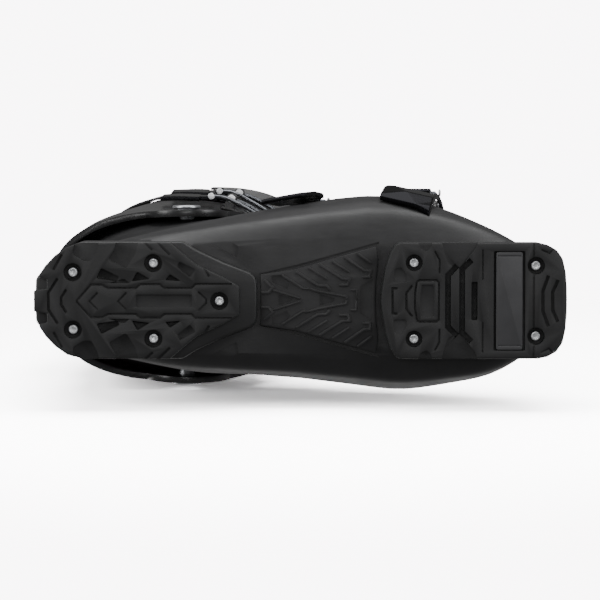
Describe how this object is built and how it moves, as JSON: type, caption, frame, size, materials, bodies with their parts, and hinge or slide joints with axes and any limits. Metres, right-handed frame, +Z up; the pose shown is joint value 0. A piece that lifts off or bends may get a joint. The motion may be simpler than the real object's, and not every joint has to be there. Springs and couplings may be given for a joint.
{
  "type": "alpine ski boot",
  "caption": "Right-foot alpine ski boot: hard lower shell with screwed-on tread blocks, hinged cuff, soft liner, lever buckles with wire bails, strap and walk lock.",
  "frame": {"origin": "on the tread, at the middle of the heel's flat centre plate, 45 mm ahead of the heel's rear end", "axes": "+Z up, +X toward the toe, +Y toward the inner (medial) side of this right boot"},
  "size_m": [0.3255, 0.1347, 0.334],
  "materials": {
    "shell": "satin moulded",
    "cuff": "semi-gloss moulded",
    "tread": "matt moulded",
    "insert": "smooth",
    "fastener": "zinc plated",
    "steel": "polished",
    "buckle": "black anodised",
    "lever": "gloss black",
    "liner": "padded textile",
    "webbing": "woven webbing",
    "footbed": "moulded"
  },
  "bodies": {
    "root": {"lower_shell": "shell", "heel_sole": "tread", "toe_sole": "tread", "toe_insert": "insert", "arch_panel": "shell", "heel_screw_1": "fastener", "heel_screw_2": "fastener", "heel_screw_3": "fastener", "heel_screw_4": "fastener", "heel_screw_5": "fastener", "toe_screw_1": "fastener", "toe_screw_2": "fastener", "toe_screw_3": "fastener", "toe_screw_4": "fastener", "boot_board": "footbed", "liner_foot": "liner", "insole": "footbed", "lock_bracket": "steel", "toe_buckle_base": "buckle", "toe_buckle_rivet": "fastener", "toe_buckle_pin": "steel", "toe_buckle_ladder": "buckle", "instep_buckle_base": "buckle", "instep_buckle_rivet": "fastener", "instep_buckle_pin": "steel", "instep_buckle_ladder": "buckle"},
    "cuff": {"cuff_shell": "cuff", "cuff_pivot_lateral": "fastener", "cuff_pivot_medial": "fastener", "liner_cuff": "liner", "liner_tongue": "liner", "power_strap": "webbing", "strap_flap": "webbing", "rear_spine": "cuff", "walk_lever_pin": "steel", "lock_bar": "steel", "lower_cuff_buckle_base": "buckle", "lower_cuff_buckle_rivet": "fastener", "lower_cuff_buckle_pin": "steel", "lower_cuff_buckle_ladder": "buckle", "upper_cuff_buckle_base": "buckle", "upper_cuff_buckle_rivet": "fastener", "upper_cuff_buckle_pin": "steel", "upper_cuff_buckle_ladder": "buckle"},
    "walk_lever": {"walk_lever": "lever"},
    "toe_buckle_lever": {"toe_buckle_lever": "lever"},
    "toe_buckle_bail": {"toe_buckle_bail": "steel"},
    "instep_buckle_lever": {"instep_buckle_lever": "lever"},
    "instep_buckle_bail": {"instep_buckle_bail": "steel"},
    "lower_cuff_buckle_lever": {"lower_cuff_buckle_lever": "lever"},
    "lower_cuff_buckle_bail": {"lower_cuff_buckle_bail": "steel"},
    "upper_cuff_buckle_lever": {"upper_cuff_buckle_lever": "lever"},
    "upper_cuff_buckle_bail": {"upper_cuff_buckle_bail": "steel"}
  },
  "joints": [
    {"name": "cuff_flex", "type": "hinge", "parent": "root", "child": "cuff", "pos_m": [0.041, 0, 0.105], "axis": [0, 1, 0], "range_deg": [-5, 12], "stiffness_Nm_per_rad": 60},
    {"name": "walk_lever_swing", "type": "hinge", "parent": "cuff", "child": "walk_lever", "pos_m": [-0.04114, 0, 0.214], "axis": [0, 1, 0], "range_deg": [0, 70]},
    {"name": "toe_buckle_lever_swing", "type": "hinge", "parent": "root", "child": "toe_buckle_lever", "pos_m": [0.18828, -0.05523, 0.07279], "axis": [-0.9659, 0, 0.2588], "range_deg": [0, 95]},
    {"name": "toe_buckle_bail_swing", "type": "hinge", "parent": "toe_buckle_lever", "child": "toe_buckle_bail", "pos_m": [0.18464, -0.06339, 0.0592], "axis": [-0.9659, 0, 0.2588], "range_deg": [-133, 0]},
    {"name": "instep_buckle_lever_swing", "type": "hinge", "parent": "root", "child": "instep_buckle_lever", "pos_m": [0.12394, -0.05228, 0.08999], "axis": [-0.8988, 0, 0.4384], "range_deg": [0, 95]},
    {"name": "instep_buckle_bail_swing", "type": "hinge", "parent": "instep_buckle_lever", "child": "instep_buckle_bail", "pos_m": [0.11766, -0.0582, 0.0771], "axis": [-0.8988, 0, 0.4384], "range_deg": [-133, 0]},
    {"name": "lower_cuff_buckle_lever_swing", "type": "hinge", "parent": "cuff", "child": "lower_cuff_buckle_lever", "pos_m": [0.06786, -0.05859, 0.172], "axis": [0, 0, 1], "range_deg": [0, 95]},
    {"name": "lower_cuff_buckle_bail_swing", "type": "hinge", "parent": "lower_cuff_buckle_lever", "child": "lower_cuff_buckle_bail", "pos_m": [0.05481, -0.06026, 0.172], "axis": [0, 0, 1], "range_deg": [-133, 0]},
    {"name": "upper_cuff_buckle_lever_swing", "type": "hinge", "parent": "cuff", "child": "upper_cuff_buckle_lever", "pos_m": [0.07172, -0.06166, 0.222], "axis": [0, 0, 1], "range_deg": [0, 95]},
    {"name": "upper_cuff_buckle_bail_swing", "type": "hinge", "parent": "upper_cuff_buckle_lever", "child": "upper_cuff_buckle_bail", "pos_m": [0.0587, -0.06309, 0.222], "axis": [0, 0, 1], "range_deg": [-133, 0]}
  ],
  "couplings": [
    {"joint": "toe_buckle_bail_swing", "follows": "toe_buckle_lever_swing", "ratio": -1.4},
    {"joint": "instep_buckle_bail_swing", "follows": "instep_buckle_lever_swing", "ratio": -1.4},
    {"joint": "lower_cuff_buckle_bail_swing", "follows": "lower_cuff_buckle_lever_swing", "ratio": -1.4},
    {"joint": "upper_cuff_buckle_bail_swing", "follows": "upper_cuff_buckle_lever_swing", "ratio": -1.4}
  ]
}
